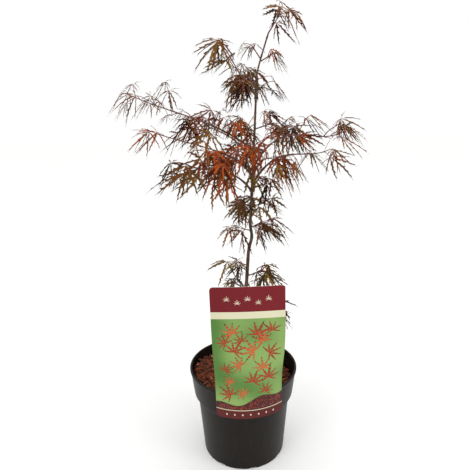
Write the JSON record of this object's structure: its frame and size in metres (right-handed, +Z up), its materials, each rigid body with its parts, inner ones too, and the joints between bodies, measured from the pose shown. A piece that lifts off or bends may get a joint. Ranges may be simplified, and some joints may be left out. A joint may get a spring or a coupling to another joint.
{
  "type": "potted japanese maple",
  "caption": "Young weeping japanese maple with fine-cut red and bronze leaves on one thin trunk, in a round black nursery pot with a printed card hooked over its rim.",
  "frame": {"origin": "centre of the pot's flat underside, on the floor", "axes": "+Z up along the pot's axis, -Y towards the side with the card, +X to the right of someone who faces the card"},
  "size_m": [0.402, 0.2636, 0.757],
  "materials": {
    "pot": "satin black moulded plastic",
    "bark": "rough moist bark chips",
    "card": "printed sheet with a soft gloss",
    "wood": "thin smooth brown bark",
    "leaf_ember": "orange-red autumn leaves",
    "leaf_brick": "brick-red autumn leaves",
    "leaf_maroon": "dark red-brown autumn leaves",
    "leaf_bronze": "bronze autumn leaves",
    "leaf_olive": "olive-brown autumn leaves"
  },
  "bodies": {
    "root": {"pot": "pot", "potting_bark": "bark", "card": "card", "trunk": "wood", "bough_long_left": "wood", "bough_mid_left": "wood", "bough_low_left": "wood", "bough_front_left": "wood", "bough_front_middle": "wood", "bough_front_right": "wood", "bough_long_right_high": "wood", "bough_long_right_low": "wood", "bough_low_right": "wood", "bough_back_left": "wood", "bough_back_right": "wood", "bough_back_middle": "wood", "bough_upper_left": "wood", "bough_upper_back": "wood", "foliage_long_left": "leaf_bronze", "foliage_mid_left": "leaf_ember", "foliage_low_left": "leaf_bronze", "foliage_front_left": "leaf_ember", "foliage_front_middle": "leaf_brick", "foliage_front_right": "leaf_ember", "foliage_long_right_high": "leaf_brick", "foliage_long_right_low": "leaf_bronze", "foliage_low_right": "leaf_maroon", "foliage_back_left": "leaf_brick", "foliage_back_right": "leaf_bronze", "foliage_back_middle": "leaf_brick", "foliage_upper_left": "leaf_olive", "foliage_upper_back": "leaf_olive", "foliage_crown_tip": "leaf_bronze", "foliage_leader_right": "leaf_bronze", "foliage_leader_left": "leaf_olive", "foliage_upper_right": "leaf_maroon", "foliage_upper_low_left": "leaf_maroon", "foliage_heart_left": "leaf_ember", "foliage_heart_front": "leaf_brick", "foliage_heart_right": "leaf_ember", "foliage_knee_left": "leaf_olive", "foliage_knee_right": "leaf_maroon", "foliage_knee_back": "leaf_bronze", "foliage_waist_left": "leaf_bronze", "foliage_waist_right": "leaf_bronze", "foliage_low_twig_left": "leaf_olive", "foliage_low_twig_right": "leaf_olive", "foliage_foot_twig_right": "leaf_bronze", "foliage_foot_twig_back": "leaf_olive"}
  },
  "joints": []
}
